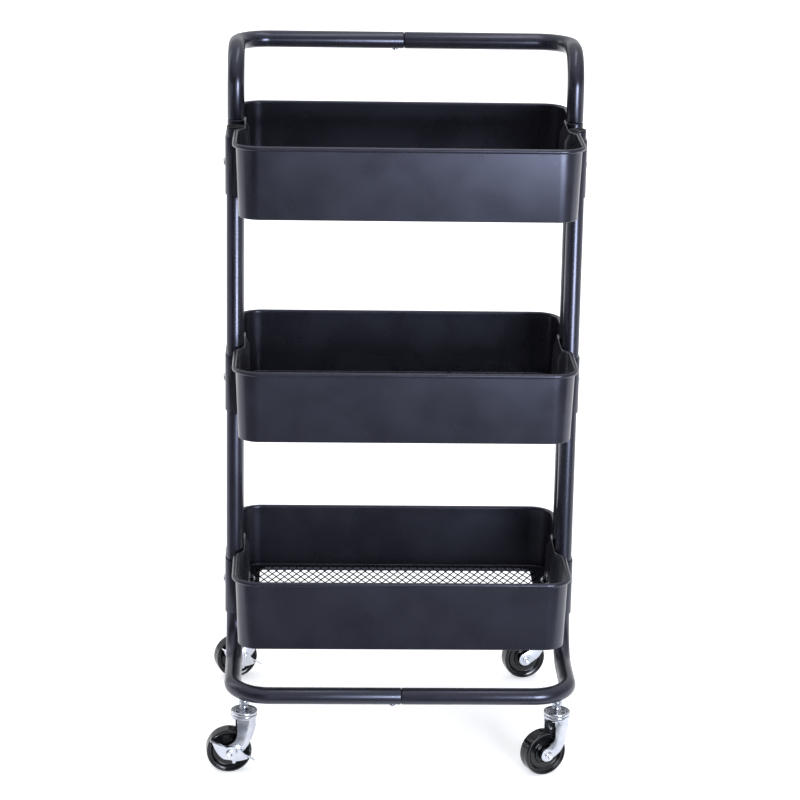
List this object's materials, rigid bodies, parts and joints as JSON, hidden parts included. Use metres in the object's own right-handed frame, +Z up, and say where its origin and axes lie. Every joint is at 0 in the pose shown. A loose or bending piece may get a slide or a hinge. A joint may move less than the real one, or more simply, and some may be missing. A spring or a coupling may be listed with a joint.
{
  "type": "rolling pantry cart",
  "caption": "Slim rolling pantry cart: bent black steel tube frame with push handle, stacked pressed-steel trays with mesh floors, on small swivel casters, some with side brakes.",
  "frame": {"origin": "on the floor, under the middle of the whole cart with its casters as they stand at rest", "axes": "+Z up, +X to the right along the trays, +Y to the rear, where the push handle leans; -Y is the front"},
  "size_m": [0.4215, 0.3375, 0.7955],
  "materials": {
    "powder_coat": "satin black powder coat with a faint orange-peel texture",
    "mesh_coat": "satin black powder coat on expanded metal",
    "zinc": "bright zinc plating",
    "wheel_plastic": "glossy black moulded plastic",
    "cap_plastic": "satin black moulded plastic"
  },
  "bodies": {
    "frame": {"front_frame_left": "powder_coat", "rear_frame_left": "powder_coat", "handle_left": "powder_coat", "front_cap_left": "cap_plastic", "front_frame_right": "powder_coat", "rear_frame_right": "powder_coat", "handle_right": "powder_coat", "front_cap_right": "cap_plastic", "handle_screw": "zinc", "front_base_screw": "zinc", "rear_base_screw": "zinc", "top_tray": "powder_coat", "top_tray_mesh": "mesh_coat", "top_strap_left": "powder_coat", "top_strap_screw_left": "zinc", "top_strap_nut_left": "powder_coat", "top_strap_right": "powder_coat", "top_strap_screw_right": "zinc", "top_strap_nut_right": "powder_coat", "middle_tray": "powder_coat", "middle_tray_mesh": "mesh_coat", "middle_strap_left": "powder_coat", "middle_strap_screw_left": "zinc", "middle_strap_nut_left": "powder_coat", "middle_strap_right": "powder_coat", "middle_strap_screw_right": "zinc", "middle_strap_nut_right": "powder_coat", "bottom_tray": "powder_coat", "bottom_tray_mesh": "mesh_coat", "bottom_strap_left": "powder_coat", "bottom_strap_screw_left": "zinc", "bottom_strap_nut_left": "powder_coat", "bottom_strap_right": "powder_coat", "bottom_strap_screw_right": "zinc", "bottom_strap_nut_right": "powder_coat", "front_left_collar": "zinc", "front_left_stem": "zinc", "front_right_collar": "zinc", "front_right_stem": "zinc", "rear_left_collar": "zinc", "rear_left_stem": "zinc", "rear_right_collar": "zinc", "rear_right_stem": "zinc"},
    "front_left_swivel": {"front_left_fork": "zinc", "front_left_axle": "zinc"},
    "front_left_wheel": {"front_left_wheel": "wheel_plastic"},
    "front_left_brake": {"front_left_brake": "zinc"},
    "front_right_swivel": {"front_right_fork": "zinc", "front_right_axle": "zinc"},
    "front_right_wheel": {"front_right_wheel": "wheel_plastic"},
    "rear_left_swivel": {"rear_left_fork": "zinc", "rear_left_axle": "zinc"},
    "rear_left_wheel": {"rear_left_wheel": "wheel_plastic"},
    "rear_left_brake": {"rear_left_brake": "zinc"},
    "rear_right_swivel": {"rear_right_fork": "zinc", "rear_right_axle": "zinc"},
    "rear_right_wheel": {"rear_right_wheel": "wheel_plastic"}
  },
  "joints": [
    {"name": "front_left_swivel_turn", "type": "hinge", "parent": "frame", "child": "front_left_swivel", "pos_m": [-0.16792, -0.14218, 0.066], "axis": [0, 0, 1], "continuous": true},
    {"name": "front_left_wheel_roll", "type": "hinge", "parent": "front_left_swivel", "child": "front_left_wheel", "pos_m": [-0.18483, -0.14396, 0.0254], "axis": [-0.1045, 0.9945, 0], "continuous": true},
    {"name": "front_left_brake_press", "type": "hinge", "parent": "front_left_swivel", "child": "front_left_brake", "pos_m": [-0.18483, -0.14396, 0.0254], "axis": [0.1045, -0.9945, 0], "range_deg": [0, 30]},
    {"name": "front_right_swivel_turn", "type": "hinge", "parent": "frame", "child": "front_right_swivel", "pos_m": [0.18376, -0.14218, 0.066], "axis": [0, 0, 1], "continuous": true},
    {"name": "front_right_wheel_roll", "type": "hinge", "parent": "front_right_swivel", "child": "front_right_wheel", "pos_m": [0.16848, -0.14963, 0.0254], "axis": [-0.4384, 0.8988, 0], "continuous": true},
    {"name": "rear_left_swivel_turn", "type": "hinge", "parent": "frame", "child": "rear_left_swivel", "pos_m": [-0.16792, 0.14925, 0.066], "axis": [0, 0, 1], "continuous": true},
    {"name": "rear_left_wheel_roll", "type": "hinge", "parent": "rear_left_swivel", "child": "rear_left_wheel", "pos_m": [-0.184, 0.14372, 0.0254], "axis": [-0.3256, 0.9455, 0], "continuous": true},
    {"name": "rear_left_brake_press", "type": "hinge", "parent": "rear_left_swivel", "child": "rear_left_brake", "pos_m": [-0.184, 0.14372, 0.0254], "axis": [0.3256, -0.9455, 0], "range_deg": [0, 30]},
    {"name": "rear_right_swivel_turn", "type": "hinge", "parent": "frame", "child": "rear_right_swivel", "pos_m": [0.18376, 0.14925, 0.066], "axis": [0, 0, 1], "continuous": true},
    {"name": "rear_right_wheel_roll", "type": "hinge", "parent": "rear_right_swivel", "child": "rear_right_wheel", "pos_m": [0.16734, 0.14485, 0.0254], "axis": [-0.2588, 0.9659, 0], "continuous": true}
  ]
}
